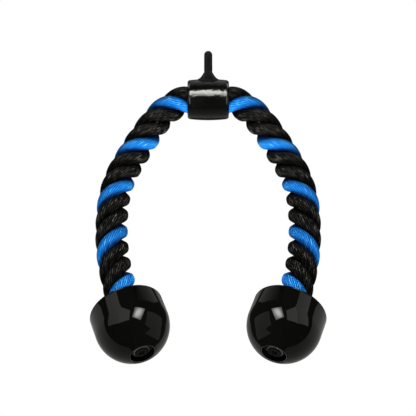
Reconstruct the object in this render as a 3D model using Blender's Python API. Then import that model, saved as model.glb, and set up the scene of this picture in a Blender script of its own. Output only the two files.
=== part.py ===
"""Triceps rope attachment for a cable machine, hung from its eye.

A short steel collar carries a welded eye on top. One length of three-strand rope leaves each
mouth of the collar, arches down and ends in a bullet-shaped stop ball, where a crimped ferrule,
a washer and a screw hold it.

Axes: +X along the collar's axis to the right arm, +Z up, the front is -Y.
Origin: the top of the eye's opening, where the snap hook bears.
"""

import math

import bmesh
import bpy
from mathutils import Matrix, Vector

for old_object in list(bpy.data.objects):
    bpy.data.objects.remove(old_object, do_unlink=True)


# Driving sizes, in metres
CLEARANCE = 0.0003

COLLAR_LENGTH = 0.0405
COLLAR_WALL = 0.0037
COLLAR_CROWN_RISE = 0.0009
COLLAR_LIP_RADIUS = 0.0022
COLLAR_MOUTH_DEPTH = 0.005
COLLAR_MOUTH_FLARE = 0.0008

EYE_BAR_DIAMETER = 0.0080
EYE_OPENING_WIDTH = 0.018
EYE_OPENING_HEIGHT = 0.0268
WELD_HEIGHT = 0.0070
WELD_REACH = 0.0054
WELD_LIP = 0.0006

ROPE_DIAMETER = 0.0300
ROPE_LAY = 0.0540
STRAND_GAP = 0.00036
BUTT_GAP = 0.0020
ARM_DROP = 0.2285
PIVOT_FROM_MOUTH = 0.0240
SWELL_LENGTH = 0.0800
WHIPPING_LENGTH = 0.0110
WHIPPING_THICKNESS = 0.0007

BALL_DIAMETER = 0.0656
BALL_WALL_LENGTH = 0.0200
BALL_RIM_FILLET = 0.0032
BALL_MOUTH_FILLET = 0.0020
BALL_BORE_DEPTH = 0.0350
BALL_RECESS_DIAMETER = 0.0220
BALL_WEB = 0.0092
BALL_LEAN_IN = math.radians(20.0)
BALL_LEAN_FORWARD = math.radians(11.2)

FERRULE_WALL = 0.0010
FERRULE_FLOOR = 0.0065
FERRULE_LENGTH = 0.0200
SCREW_DIAMETER = 0.0060
SCREW_HOLD = 0.0045
SCREW_HEAD_DIAMETER = 0.0148
SCREW_HEAD_HEIGHT = 0.0028
SCREW_SOCKET_WIDTH = 0.0050
SCREW_SOCKET_DEPTH = 0.0017
WASHER_MARGIN = 0.0015
WASHER_THICKNESS = 0.0015

# Shares and counts
STRANDS = 3
STRAND_SIDES = 10
RINGS_PER_LAY = 13
STRAND_WIDTH_SHARE = 1.33
CRIMP_SHARE = 0.955
WELD_DEPTH_SHARE = 0.50
WELD_SHEAR_SHARE = 0.85
RIM_STEPS = 4
DOME_STEPS = 9
CROWN_STEPS = 6
COLLAR_SEGMENTS = 36
BALL_SEGMENTS = 32
SMALL_SEGMENTS = 20
EYE_SIDES = 12
EYE_BEND_STEPS = 10

# The rope's centreline after the collar's mouth: outwards, back and down, as shares of ARM_DROP
ROUTE_SHARES = (
    (0.0000, 0.0000, 0.0000),
    (0.0218, 0.0004, 0.0066),
    (0.0452, 0.0013, 0.0190),
    (0.0696, 0.0026, 0.0358),
    (0.0938, 0.0044, 0.0567),
    (0.1178, 0.0066, 0.0827),
    (0.1403, 0.0088, 0.1137),
    (0.1889, 0.0131, 0.1960),
    (0.2367, 0.0140, 0.2893),
    (0.2758, 0.0105, 0.3836),
    (0.2972, 0.0039, 0.4863),
    (0.3013, -0.0048, 0.5934),
    (0.2964, -0.0149, 0.6963),
    (0.2816, -0.0271, 0.7978),
    (0.2574, -0.0429, 0.8995),
    (0.2288, -0.0621, 1.0000),
)

# Where the blue strand faces the inside of the arch, turn by turn, from the collar's middle,
# as shares of the lay: a hand-laid rope is a little tighter at mid-arm than near the collar
TURN_SHARES = (-0.61, 0.43, 1.55, 2.55, 3.57, 4.58, 5.55, 6.51)

# Sizes that follow
ROPE_RADIUS = ROPE_DIAMETER / 2
CRIMPED_RADIUS = ROPE_RADIUS * CRIMP_SHARE
WHIPPING_BORE = CRIMPED_RADIUS + CLEARANCE
COLLAR_BORE = WHIPPING_BORE + WHIPPING_THICKNESS + CLEARANCE
COLLAR_END_RADIUS = COLLAR_BORE + COLLAR_WALL
COLLAR_MIDDLE_RADIUS = COLLAR_END_RADIUS + COLLAR_CROWN_RISE
COLLAR_AXIS_Z = -EYE_OPENING_HEIGHT - COLLAR_MIDDLE_RADIUS
FERRULE_BORE = CRIMPED_RADIUS + CLEARANCE
FERRULE_RADIUS = FERRULE_BORE + FERRULE_WALL
BALL_RADIUS = BALL_DIAMETER / 2
BALL_BORE = max(FERRULE_RADIUS, ROPE_RADIUS) + CLEARANCE
FERRULE_END = BALL_BORE_DEPTH - CLEARANCE
ROPE_END_DEPTH = FERRULE_END - FERRULE_FLOOR - CLEARANCE
RECESS_FLOOR = BALL_BORE_DEPTH + BALL_WEB
SCREW_TIP = FERRULE_END - SCREW_HOLD
WASHER_RADIUS = BALL_RECESS_DIAMETER / 2 - WASHER_MARGIN
EYE_BAR_RADIUS = EYE_BAR_DIAMETER / 2
EYE_BEND_RADIUS = EYE_OPENING_WIDTH / 2 + EYE_BAR_RADIUS
EYE_BEND_Z = -EYE_OPENING_WIDTH / 2


def finish_with(colour, roughness, metallic):
    """A plain Principled material."""
    material = bpy.data.materials.new("finish")
    material.use_nodes = True
    shader = material.node_tree.nodes["Principled BSDF"]
    shader.inputs["Base Color"].default_value = (*colour, 1.0)
    shader.inputs["Roughness"].default_value = roughness
    shader.inputs["Metallic"].default_value = metallic
    return material


BLACK_ROPE = finish_with((0.018, 0.017, 0.016), 0.55, 0.0)
BLUE_ROPE = finish_with((0.010, 0.165, 0.800), 0.45, 0.0)
COLLAR_ENAMEL = finish_with((0.020, 0.020, 0.021), 0.12, 0.6)
EYE_ENAMEL = finish_with((0.022, 0.021, 0.021), 0.35, 0.3)
BALL_PLASTIC = finish_with((0.010, 0.010, 0.011), 0.08, 0.0)
BLACK_STEEL = finish_with((0.030, 0.030, 0.032), 0.30, 0.8)
TAPE = finish_with((0.040, 0.040, 0.040), 0.60, 0.0)


def add_object(name, bm, material, parent=None):
    """Put a closed bmesh into the scene as one named object, kept where it is modelled."""
    bmesh.ops.remove_doubles(bm, verts=bm.verts, dist=CLEARANCE / 100)
    bmesh.ops.recalc_face_normals(bm, faces=bm.faces)
    mesh = bpy.data.meshes.new(name)
    bm.to_mesh(mesh)
    bm.free()
    mesh.shade_smooth()
    mesh.set_sharp_from_angle(angle=math.radians(35))
    mesh.materials.append(material)
    new_object = bpy.data.objects.new(name, mesh)
    bpy.context.scene.collection.objects.link(new_object)
    if parent is not None:
        bpy.context.view_layer.update()
        new_object.parent = parent
        new_object.matrix_parent_inverse = parent.matrix_world.inverted()
    return new_object


def add_axis(name, place, parent=None):
    """An empty on a joint's axis."""
    axis = bpy.data.objects.new(name, None)
    axis.location = place
    axis.empty_display_size = COLLAR_LENGTH
    bpy.context.scene.collection.objects.link(axis)
    bpy.context.view_layer.update()
    if parent is not None:
        axis.parent = parent
        axis.matrix_parent_inverse = parent.matrix_world.inverted()
        bpy.context.view_layer.update()
    return axis


def turned(outline, segments, closed):
    """Spin an outline of (height, radius) points about Z. A closed outline makes a ring."""
    bm = bmesh.new()
    verts = [bm.verts.new((radius, 0, height)) for height, radius in outline]
    pairs = list(zip(verts, verts[1:]))
    if closed:
        pairs.append((verts[-1], verts[0]))
    edges = [bm.edges.new(pair) for pair in pairs]
    bmesh.ops.spin(bm, geom=verts + edges, cent=(0, 0, 0), axis=(0, 0, 1), angle=math.tau,
                   steps=segments, use_merge=True, use_duplicate=False)
    return bm


def arc(centre, radius, start, end, steps):
    """Points of a round stretch in an outline, with angles in degrees from the height axis."""
    points = []
    for step in range(steps + 1):
        angle = math.radians(start + (end - start) * step / steps)
        points.append((centre[0] + radius * math.cos(angle), centre[1] + radius * math.sin(angle)))
    return points


def loft(rings):
    """Skin a row of equal rings of points and cap both ends."""
    bm = bmesh.new()
    rows = [[bm.verts.new(point) for point in ring] for ring in rings]
    sides = len(rows[0])
    for lower, upper in zip(rows, rows[1:]):
        for side in range(sides):
            after = (side + 1) % sides
            bm.faces.new((lower[side], lower[after], upper[after], upper[side]))
    bm.faces.new(rows[0])
    bm.faces.new(rows[-1])
    return bm


def cut(target, cutter):
    """Subtract a cutter, which stays in the scene as a wire guide."""
    cutter.hide_render = True
    cutter.display_type = "WIRE"
    boolean = target.modifiers.new("cut", "BOOLEAN")
    boolean.operation = "DIFFERENCE"
    boolean.object = cutter


def smooth_route(points, step):
    """Read points about a step apart, with their distances, from a smooth curve through points."""
    spans = [(after - before).length for before, after in zip(points, points[1:])]
    slopes = [(points[1] - points[0]) / spans[0]]
    for index in range(1, len(points) - 1):
        before = (points[index] - points[index - 1]) / spans[index - 1]
        after = (points[index + 1] - points[index]) / spans[index]
        weight = spans[index - 1] / (spans[index - 1] + spans[index])
        slopes.append(before.lerp(after, weight))
    slopes.append((points[-1] - points[-2]) / spans[-1])
    curve = [points[0].copy()]
    for index, span in enumerate(spans):
        pieces = max(2, math.ceil(span / step))
        for piece in range(1, pieces + 1):
            t = piece / pieces
            curve.append(points[index] * (2 * t ** 3 - 3 * t ** 2 + 1)
                         + slopes[index] * span * (t ** 3 - 2 * t ** 2 + t)
                         + points[index + 1] * (3 * t ** 2 - 2 * t ** 3)
                         + slopes[index + 1] * span * (t ** 3 - t ** 2))
    distances = [0.0]
    for before, after in zip(curve, curve[1:]):
        distances.append(distances[-1] + (after - before).length)
    return curve, distances


def read_table(places, values, place):
    """The value at a place in a rising table, along straight lines."""
    for index in range(len(places) - 1):
        if place <= places[index + 1] or index == len(places) - 2:
            share = (place - places[index]) / (places[index + 1] - places[index])
            return values[index] + (values[index + 1] - values[index]) * share
    return values[-1]


def ease(share):
    """A smooth rise from 0 to 1."""
    share = min(max(share, 0.0), 1.0)
    return share * share * (3 - 2 * share)


# The left arm's centreline. The right arm is its mirror image.
BALL_AXIS = Vector((math.sin(BALL_LEAN_IN) * math.cos(BALL_LEAN_FORWARD),
                    -math.sin(BALL_LEAN_FORWARD),
                    -math.cos(BALL_LEAN_IN) * math.cos(BALL_LEAN_FORWARD)))
MOUTH = Vector((-COLLAR_LENGTH / 2, 0, COLLAR_AXIS_Z))
ROUTE = [MOUTH + Vector((-out, back, -down)) * ARM_DROP for out, back, down in ROUTE_SHARES]
RIM_CENTRE = ROUTE[-1]
ROUTE = ([Vector((-BUTT_GAP / 2, 0, COLLAR_AXIS_Z)), (MOUTH + Vector((-BUTT_GAP / 2, 0, COLLAR_AXIS_Z))) / 2]
         + ROUTE
         + [RIM_CENTRE + BALL_AXIS * ROPE_END_DEPTH / 2, RIM_CENTRE + BALL_AXIS * ROPE_END_DEPTH])
CENTRELINE, DISTANCES = smooth_route(ROUTE, ROPE_RADIUS / 10)
MOUTH_DISTANCE = COLLAR_LENGTH / 2 - BUTT_GAP / 2
PIVOT_DISTANCE = MOUTH_DISTANCE + PIVOT_FROM_MOUTH
ROPE_LENGTH = DISTANCES[-1]
RIM_DISTANCE = ROPE_LENGTH - ROPE_END_DEPTH


def place_on_route(distance):
    """The centreline's point and direction at a distance from the rope's butt end."""
    index = 1
    while index < len(DISTANCES) - 1 and DISTANCES[index] < distance:
        index += 1
    before, after = CENTRELINE[index - 1], CENTRELINE[index]
    share = (distance - DISTANCES[index - 1]) / (DISTANCES[index] - DISTANCES[index - 1])
    ahead, behind = min(index + 1, len(CENTRELINE) - 1), max(index - 2, 0)
    return before.lerp(after, share), (CENTRELINE[ahead] - CENTRELINE[behind]).normalized()


def lay_turns(distance):
    """Turns of the blue strand at a distance: whole where it faces the inside of the arch."""
    places = [share * ROPE_LAY for share in TURN_SHARES]
    turns = range(len(TURN_SHARES))
    reach = ROPE_LAY / 4
    middle = distance + BUTT_GAP / 2
    return (read_table(places, turns, middle - reach) + 2 * read_table(places, turns, middle)
            + read_table(places, turns, middle + reach)) / 4


def rope_share(distance):
    """How full the rope is: crimped in the collar and in the ferrule."""
    leaving = ease((distance - MOUTH_DISTANCE) / SWELL_LENGTH)
    ferrule_mouth = ROPE_LENGTH + CLEARANCE + FERRULE_FLOOR - FERRULE_LENGTH
    entering = ease((ferrule_mouth - distance) / (ferrule_mouth - RIM_DISTANCE))
    return CRIMP_SHARE + (1 - CRIMP_SHARE) * min(leaving, entering)


def strand_section(distance, turn_offset, side):
    """One strand's oval section square to the centreline, on the left (-1) or right (1) arm."""
    centre, along = place_on_route(distance)
    front = Vector((0, -1, 0))
    front = (front - along * front.dot(along)).normalized()
    inward = front.cross(along)
    lean = math.tan(math.pi / STRANDS)
    spread = math.sqrt(lean ** 2 + STRAND_WIDTH_SHARE ** 2) / lean
    thick = (ROPE_RADIUS - STRAND_GAP / 2 / math.sin(math.pi / STRANDS)) / (1 + spread)
    offset = ROPE_RADIUS - thick
    angle = (lay_turns(distance) + turn_offset) * math.tau
    outward = inward * math.cos(angle) + front * math.sin(angle)
    across = front * math.cos(angle) - inward * math.sin(angle)
    points = []
    for corner in range(STRAND_SIDES):
        turn = math.tau * corner / STRAND_SIDES
        point = centre + (outward * (offset + thick * math.cos(turn))
                          + across * thick * STRAND_WIDTH_SHARE * math.sin(turn)) * rope_share(distance)
        points.append(Vector((-side * point.x, point.y, point.z)))
    return points


def strand(name, start, end, turn_offset, side, material, parent):
    """One strand between two distances along the centreline."""
    rings = max(2, round((end - start) / ROPE_LAY * RINGS_PER_LAY))
    stations = [start + (end - start) * ring / rings for ring in range(rings + 1)]
    bm = loft([strand_section(station, turn_offset, side) for station in stations])
    return add_object(name, bm, material, parent)


def rope_arm(label, side, neck_axis, arm_axis):
    """Three strands, each in a neck piece that flexes and an arm piece beyond the bend."""
    kinds = (("blue", BLUE_ROPE), ("black_a", BLACK_ROPE), ("black_b", BLACK_ROPE))
    for index, (kind, material) in enumerate(kinds):
        turn_offset = index / STRANDS
        strand(f"{label}_neck_strand_{kind}", 0, PIVOT_DISTANCE - CLEARANCE / 2,
               turn_offset, side, material, neck_axis)
        strand(f"{label}_arm_strand_{kind}", PIVOT_DISTANCE + CLEARANCE / 2, ROPE_LENGTH,
               turn_offset, side, material, arm_axis)


def whipping(label, side, neck_axis):
    """The tape round the rope's butt end, hidden in the collar."""
    outer = WHIPPING_BORE + WHIPPING_THICKNESS
    outline = [(0, outer), (WHIPPING_LENGTH, outer), (WHIPPING_LENGTH, WHIPPING_BORE), (0, WHIPPING_BORE)]
    tape = add_object(f"{label}_whipping", turned(outline, SMALL_SEGMENTS, True), TAPE)
    tape.location = (side * BUTT_GAP / 2, 0, COLLAR_AXIS_Z)
    tape.rotation_euler = (0, side * math.pi / 2, 0)
    bpy.context.view_layer.update()
    tape.parent = neck_axis
    tape.matrix_parent_inverse = neck_axis.matrix_world.inverted()


def collar_crown(offset):
    """The collar's crowned outside between its lips, as (height, radius) points."""
    reach = COLLAR_LENGTH / 2 - COLLAR_LIP_RADIUS
    points = []
    for step in range(CROWN_STEPS + 1):
        share = step / CROWN_STEPS * 2 - 1
        points.append((share * reach, COLLAR_END_RADIUS + COLLAR_CROWN_RISE * (1 - share * share) + offset))
    return points


def collar():
    """A crowned sleeve with round lips and belled mouths, turned about its own axis."""
    half = COLLAR_LENGTH / 2
    lip = COLLAR_LIP_RADIUS
    mouth = COLLAR_BORE + COLLAR_MOUTH_FLARE
    outline = collar_crown(0)
    outline += arc((half - lip, COLLAR_END_RADIUS - lip), lip, 90, 0, RIM_STEPS)[1:]
    outline += [(half, mouth), (half - COLLAR_MOUTH_DEPTH, COLLAR_BORE),
                (-half + COLLAR_MOUTH_DEPTH, COLLAR_BORE), (-half, mouth)]
    outline += arc((-half + lip, COLLAR_END_RADIUS - lip), lip, 180, 90, RIM_STEPS)[:-1]
    sleeve = add_object("collar_sleeve", turned(outline, COLLAR_SEGMENTS, True), COLLAR_ENAMEL)
    sleeve.location = (0, 0, COLLAR_AXIS_Z)
    sleeve.rotation_euler = (0, math.pi / 2, 0)


def collar_cutter(name):
    """The collar's crowned outside with the clearance added, to fit what stands on it."""
    outline = collar_crown(CLEARANCE)
    outline = [(outline[0][0], 0)] + outline + [(outline[-1][0], 0)]
    cutter = add_object(name, turned(outline, COLLAR_SEGMENTS, False), EYE_ENAMEL)
    cutter.location = (0, 0, COLLAR_AXIS_Z)
    cutter.rotation_euler = (0, math.pi / 2, 0)
    return cutter


def eye_ring(place, along, radius):
    """One round section of the eye's bar, in the plane through the eye."""
    across = Vector((1, 0, 0))
    normal = along.cross(across)
    points = []
    for corner in range(EYE_SIDES):
        turn = math.tau * (corner + 0.5) / EYE_SIDES
        points.append(place + (across * math.cos(turn) + normal * math.sin(turn)) * radius)
    return points


def hanging_eye():
    """A round bar bent into a U, square to the collar, with both feet cut to the collar."""
    foot_z = COLLAR_AXIS_Z
    rings = [eye_ring(Vector((0, -EYE_BEND_RADIUS, foot_z)), Vector((0, 0, 1)), EYE_BAR_RADIUS)]
    for step in range(EYE_BEND_STEPS + 1):
        angle = math.pi * step / EYE_BEND_STEPS
        place = Vector((0, -math.cos(angle), math.sin(angle))) * EYE_BEND_RADIUS
        along = Vector((0, math.sin(angle), math.cos(angle)))
        rings.append(eye_ring(place + Vector((0, 0, EYE_BEND_Z)), along, EYE_BAR_RADIUS))
    rings.append(eye_ring(Vector((0, EYE_BEND_RADIUS, foot_z)), Vector((0, 0, -1)), EYE_BAR_RADIUS))
    eye = add_object("hanging_eye", loft(rings), EYE_ENAMEL)
    cut(eye, collar_cutter("eye_foot_cutter"))


def eye_weld(label, side):
    """The weld's concave fillet round one foot of the eye, cut to the collar and the bar."""
    foot_height = math.sqrt(COLLAR_MIDDLE_RADIUS ** 2 - EYE_BEND_RADIUS ** 2)
    slope = EYE_BEND_RADIUS / foot_height
    inner = EYE_BAR_RADIUS + CLEARANCE
    outline = [(WELD_HEIGHT, 0), (WELD_HEIGHT, inner + WELD_LIP)]
    for height, reach in arc((WELD_HEIGHT, WELD_REACH), WELD_REACH, 270, 180, RIM_STEPS)[1:]:
        depth = WELD_HEIGHT - height
        outline.append((WELD_HEIGHT - depth * WELD_HEIGHT / WELD_REACH, inner + WELD_LIP + reach))
    base = -2 * WELD_REACH
    outline += [(base, inner + WELD_LIP + WELD_REACH), (base, 0)]
    bm = turned(outline, SMALL_SEGMENTS, False)
    for vert in bm.verts:
        radius = math.hypot(vert.co.x, vert.co.y)
        excess = max(radius - inner - WELD_LIP, 0.0)
        if excess > 0:
            across = (vert.co.y / radius) ** 2
            vert.co.xy *= 1 - excess / radius * (1 - WELD_DEPTH_SHARE) * across
        height_share = min(max(vert.co.z / WELD_HEIGHT, 0.0), 1.0)
        vert.co.z -= vert.co.y * side * slope * (1 - height_share * WELD_SHEAR_SHARE)
    weld = add_object(f"eye_weld_{label}", bm, EYE_ENAMEL)
    weld.location = (0, side * EYE_BEND_RADIUS, COLLAR_AXIS_Z + foot_height)
    cut(weld, collar_cutter(f"weld_{label}_collar_cutter"))
    bar = bmesh.new()
    bmesh.ops.create_cone(bar, cap_ends=True, segments=SMALL_SEGMENTS, depth=2 * COLLAR_MIDDLE_RADIUS,
                          radius1=inner, radius2=inner)
    bar_cutter = add_object(f"weld_{label}_bar_cutter", bar, EYE_ENAMEL)
    bar_cutter.location = weld.location
    cut(weld, bar_cutter)


def ball_frame(side):
    """The frame of a ball: its origin at the centre of the rim, its +Z down the ball's axis."""
    place = Vector((-side * RIM_CENTRE.x, RIM_CENTRE.y, RIM_CENTRE.z))
    down = Vector((-side * BALL_AXIS.x, BALL_AXIS.y, BALL_AXIS.z))
    front = Vector((0, -1, 0))
    front = (front - down * front.dot(down)).normalized()
    turn = Matrix((down.cross(front).cross(down), down.cross(front), down)).transposed()
    return Matrix.Translation(place) @ turn.to_4x4()


def add_in_ball(name, bm, material, side, arm_axis):
    """Add a piece that is modelled in the ball's own frame."""
    bmesh.ops.recalc_face_normals(bm, faces=bm.faces)
    piece = add_object(name, bm, material)
    piece.matrix_world = ball_frame(side)
    bpy.context.view_layer.update()
    piece.parent = arm_axis
    piece.matrix_parent_inverse = arm_axis.matrix_world.inverted()
    return piece


def ball(label, side, arm_axis):
    """A bullet-shaped stop: a short wall, a round dome, a rope bore and a recess for the screw."""
    dome_angle = math.degrees(math.asin(BALL_RECESS_DIAMETER / BALL_DIAMETER))
    hole = SCREW_DIAMETER / 2 + CLEARANCE
    outline = [(BALL_BORE_DEPTH, hole), (BALL_BORE_DEPTH, BALL_BORE)]
    outline += arc((BALL_MOUTH_FILLET, BALL_BORE + BALL_MOUTH_FILLET), BALL_MOUTH_FILLET,
                   270, 180, RIM_STEPS - 1)
    outline += arc((BALL_RIM_FILLET, BALL_RADIUS - BALL_RIM_FILLET), BALL_RIM_FILLET, 180, 90, RIM_STEPS)
    outline += arc((BALL_WALL_LENGTH, 0), BALL_RADIUS, 90, dome_angle, DOME_STEPS)
    outline += [(RECESS_FLOOR, BALL_RECESS_DIAMETER / 2), (RECESS_FLOOR, hole)]
    add_in_ball(f"{label}_ball", turned(outline, BALL_SEGMENTS, True), BALL_PLASTIC, side, arm_axis)


def ferrule(label, side, arm_axis):
    """The steel cup crimped on the rope's end, drilled and tapped for the screw."""
    hole = SCREW_DIAMETER / 2 + CLEARANCE
    mouth = FERRULE_END - FERRULE_LENGTH
    floor = FERRULE_END - FERRULE_FLOOR
    outline = [(FERRULE_END, hole), (floor, hole), (floor, FERRULE_BORE), (mouth, FERRULE_BORE),
               (mouth, FERRULE_RADIUS), (FERRULE_END, FERRULE_RADIUS)]
    add_in_ball(f"{label}_end_ferrule", turned(outline, BALL_SEGMENTS, True), BLACK_STEEL, side, arm_axis)


def washer(label, side, arm_axis):
    """The flat washer on the floor of the ball's recess."""
    hole = SCREW_DIAMETER / 2 + CLEARANCE
    near = RECESS_FLOOR + CLEARANCE
    far = near + WASHER_THICKNESS
    outline = [(near, hole), (far, hole), (far, WASHER_RADIUS), (near, WASHER_RADIUS)]
    add_in_ball(f"{label}_end_washer", turned(outline, SMALL_SEGMENTS, True), BLACK_STEEL, side, arm_axis)


def screw(label, side, arm_axis):
    """A round-headed screw with a hexagon socket, from the recess up into the ferrule."""
    seat = RECESS_FLOOR + WASHER_THICKNESS + 2 * CLEARANCE
    top = seat + SCREW_HEAD_HEIGHT
    radius = SCREW_HEAD_DIAMETER / 2
    edge = SCREW_HEAD_HEIGHT / 2
    outline = [(SCREW_TIP, 0), (SCREW_TIP, SCREW_DIAMETER / 2),
               (seat, SCREW_DIAMETER / 2), (seat, radius), (seat + edge / 2, radius)]
    outline += arc((seat + edge / 2, radius - edge), edge, 90, 20, RIM_STEPS)[1:]
    outline += [(top, radius - 2 * edge), (top, 0)]
    piece = add_in_ball(f"{label}_end_screw", turned(outline, SMALL_SEGMENTS, False), BLACK_STEEL,
                        side, arm_axis)
    socket = bmesh.new()
    bmesh.ops.create_cone(socket, cap_ends=True, segments=6, depth=2 * SCREW_SOCKET_DEPTH,
                          radius1=SCREW_SOCKET_WIDTH / math.sqrt(3), radius2=SCREW_SOCKET_WIDTH / math.sqrt(3))
    bmesh.ops.translate(socket, verts=socket.verts, vec=(0, 0, top))
    cut(piece, add_in_ball(f"{label}_socket_cutter", socket, BLACK_STEEL, side, arm_axis))


collar()
hanging_eye()
for weld_label, weld_side in (("front", -1), ("rear", 1)):
    eye_weld(weld_label, weld_side)
for arm_label, arm_side in (("left", -1), ("right", 1)):
    pivot, pivot_direction = place_on_route(PIVOT_DISTANCE)
    swing_axis = add_axis(f"{arm_label}_swing_axis", (arm_side * COLLAR_LENGTH / 2, 0, COLLAR_AXIS_Z))
    spread_axis = add_axis(f"{arm_label}_spread_axis", (-arm_side * pivot.x, pivot.y, pivot.z), swing_axis)
    rope_arm(arm_label, arm_side, swing_axis, spread_axis)
    whipping(arm_label, arm_side, swing_axis)
    ball(arm_label, arm_side, spread_axis)
    ferrule(arm_label, arm_side, spread_axis)
    washer(arm_label, arm_side, spread_axis)
    screw(arm_label, arm_side, spread_axis)
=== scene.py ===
"""Looks for a triceps rope attachment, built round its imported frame.

Laid out as an add-on: each operator makes one piece or a group of like pieces, and main() runs
them in order. Metres, +X along the collar towards the right arm, +Z up, the front is -Y.
"""

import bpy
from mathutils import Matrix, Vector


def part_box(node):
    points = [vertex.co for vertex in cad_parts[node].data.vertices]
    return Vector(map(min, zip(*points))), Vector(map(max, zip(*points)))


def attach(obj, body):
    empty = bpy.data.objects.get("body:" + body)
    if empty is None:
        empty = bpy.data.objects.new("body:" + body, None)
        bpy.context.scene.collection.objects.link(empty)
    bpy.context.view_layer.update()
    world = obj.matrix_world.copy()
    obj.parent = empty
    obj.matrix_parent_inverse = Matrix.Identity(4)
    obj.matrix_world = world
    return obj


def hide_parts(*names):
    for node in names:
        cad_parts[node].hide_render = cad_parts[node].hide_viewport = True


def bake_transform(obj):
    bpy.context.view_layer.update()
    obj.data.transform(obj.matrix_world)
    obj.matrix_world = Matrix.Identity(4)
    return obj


bl_info = {
    "name": "Triceps rope attachment",
    "version": (1, 0, 0),
    "blender": (4, 5, 0),
    "location": "3D Viewport > Sidebar > Rope",
    "description": "Builds the looks of a three-strand triceps rope with its collar, eye and balls",
    "category": "Object",
}

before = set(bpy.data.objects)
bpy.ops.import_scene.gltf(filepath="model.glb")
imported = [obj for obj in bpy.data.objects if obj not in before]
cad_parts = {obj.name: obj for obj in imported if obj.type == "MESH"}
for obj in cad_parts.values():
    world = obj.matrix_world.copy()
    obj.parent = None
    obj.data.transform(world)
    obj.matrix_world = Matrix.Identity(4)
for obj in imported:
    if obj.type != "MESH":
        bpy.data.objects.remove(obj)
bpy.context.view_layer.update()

import math

import bmesh
import bpy
from bpy.props import FloatProperty, FloatVectorProperty, IntProperty, PointerProperty
from bpy.types import Operator, Panel, PropertyGroup
from mathutils import Matrix, Vector, noise

COLLAR_LOW, COLLAR_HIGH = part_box("collar_sleeve")
SIDES = (("left", -1), ("right", 1))
FIT_GAP = 0.0003  # between pieces that fit together, as in the solids

# The left rope's centreline from its butt end in the collar to its end in the ball's ferrule
ROPE_ROUTE = (
    (-0.001000, 0.000000, -0.047025),
    (-0.010625, 0.000000, -0.047025),
    (-0.020250, 0.000000, -0.047025),
    (-0.025231, 0.000091, -0.048533),
    (-0.030578, 0.000297, -0.051366),
    (-0.036154, 0.000594, -0.055205),
    (-0.041683, 0.001005, -0.059981),
    (-0.047167, 0.001508, -0.065922),
    (-0.052309, 0.002011, -0.073005),
    (-0.063414, 0.002993, -0.091811),
    (-0.074336, 0.003199, -0.113130),
    (-0.083270, 0.002399, -0.134678),
    (-0.088160, 0.000891, -0.158145),
    (-0.089097, -0.001097, -0.182617),
    (-0.087977, -0.003405, -0.206130),
    (-0.084596, -0.006192, -0.229322),
    (-0.079066, -0.009803, -0.252561),
    (-0.072531, -0.014190, -0.275525),
    (-0.067850, -0.016899, -0.288384),
    (-0.063170, -0.019609, -0.301243),
)
BUTT_OFFSET = -ROPE_ROUTE[0][0]
COLLAR_MOUTH = Vector(ROPE_ROUTE[2])
RIM_CENTRE = Vector(ROPE_ROUTE[-3])
ROPE_END = Vector(ROPE_ROUTE[-1])
MOUTH_DISTANCE = (COLLAR_MOUTH - Vector(ROPE_ROUTE[0])).length
BALL_AXIS = (ROPE_END - RIM_CENTRE).normalized()
ROPE_END_DEPTH = (ROPE_END - RIM_CENTRE).length
FERRULE_LENGTH = 0.0132

# Where the blue strand faces the inside of the arch, in metres from the collar's middle
TURN_PLACES = (-0.03294, 0.02322, 0.08370, 0.13770, 0.19278, 0.24732, 0.29970, 0.35154)


class RopeSettings(PropertyGroup):
    diameter: FloatProperty(
        name="Diameter", description="Across the three laid strands",
        default=0.0300, min=0.01, unit="LENGTH", precision=4)
    lay: FloatProperty(
        name="Lay", description="Length of one turn of a strand",
        default=0.0540, min=0.02, unit="LENGTH", precision=4)
    swell: FloatProperty(
        name="Swell", description="Length over which the rope opens out beyond the collar",
        default=0.0800, min=0.01, unit="LENGTH", precision=4)
    crimp: FloatProperty(
        name="Crimp", description="How full the rope is in the collar and the ferrules",
        default=0.955, min=0.8, max=1.0)
    yarns: IntProperty(
        name="Yarns", description="Yarns on the outside of one strand",
        default=25, min=6, max=40)
    yarn_pull: FloatProperty(
        name="Yarn pull", description="How far the yarns turn back against the strands, "
        "from 0, along the strand, to 1, along the rope", default=0.78, min=0.0, max=1.0)
    yarn_depth: FloatProperty(
        name="Yarn depth", description="Depth of the hollow between two yarns",
        default=0.00042, min=0.0, max=0.001, unit="LENGTH", precision=5)
    ring_step: FloatProperty(
        name="Ring step", description="Spacing of the rings of points along the rope",
        default=0.00125, min=0.0005, unit="LENGTH", precision=5)
    blue: FloatVectorProperty(
        name="Blue", description="Colour of the marker strand",
        default=(0.003, 0.134, 0.465), min=0.0, max=1.0, subtype="COLOR")
    black: FloatVectorProperty(
        name="Black", description="Colour of the other two strands",
        default=(0.0012, 0.0012, 0.0011), min=0.0, max=1.0, subtype="COLOR")


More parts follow.
